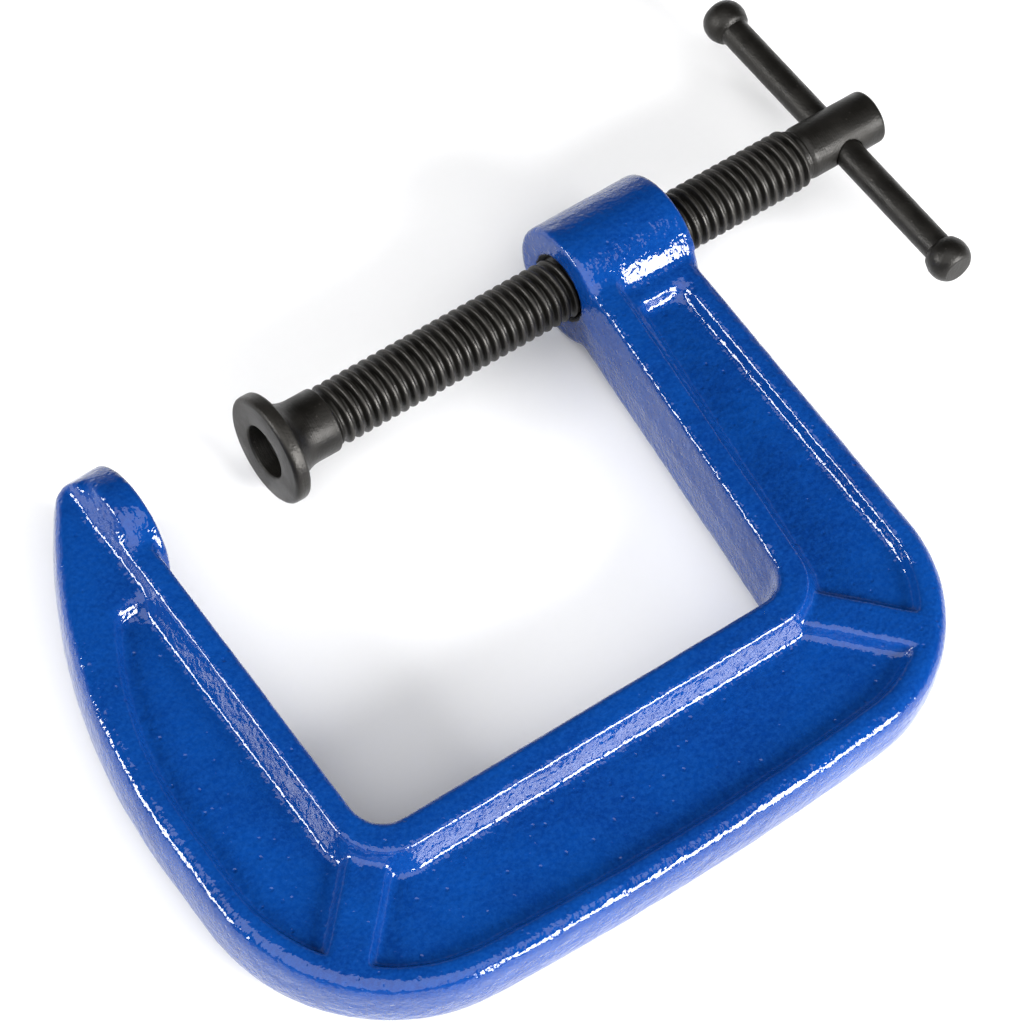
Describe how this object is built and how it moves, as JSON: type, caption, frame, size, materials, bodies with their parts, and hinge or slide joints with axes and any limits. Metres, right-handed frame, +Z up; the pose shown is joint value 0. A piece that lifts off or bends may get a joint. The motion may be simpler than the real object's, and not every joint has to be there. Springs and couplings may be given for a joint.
{
  "type": "c clamp",
  "caption": "Deep-throat C clamp: cast frame with a tapped boss and round anvil, threaded screw with a sliding tommy bar and a swivel pad.",
  "frame": {"origin": "centre of the fixed jaw's round face (the anvil), on the screw's axis", "axes": "+X along the screw from the anvil towards the tommy bar, +Y from the spine out through the throat, +Z up out of the frame's side as the clamp lies flat"},
  "size_m": [0.157, 0.1154, 0.0192],
  "materials": {
    "blue_enamel": "glossy enamel over a sand casting",
    "black_steel": "black oxide, satin"
  },
  "bodies": {
    "frame": {"frame": "blue_enamel"},
    "swivel_pad": {"swivel_pad": "black_steel"},
    "screw": {"screw": "black_steel"},
    "tommy_bar": {"tommy_bar": "black_steel"}
  },
  "joints": [
    {"name": "pad_travel", "type": "slide", "parent": "frame", "child": "swivel_pad", "axis": [1, 0, 0], "range_m": [-0.0219, 0.0416]},
    {"name": "screw_turn", "type": "hinge", "parent": "swivel_pad", "child": "screw", "pos_m": [0, 0, 0], "axis": [1, 0, 0], "range_deg": [-4954, 9422]},
    {"name": "bar_slide", "type": "slide", "parent": "screw", "child": "tommy_bar", "axis": [0, 0.9966, -0.0819], "range_m": [-0.0196, 0.0208]}
  ],
  "couplings": [
    {"joint": "pad_travel", "follows": "screw_turn", "m_per_rad": 0.00025266}
  ]
}
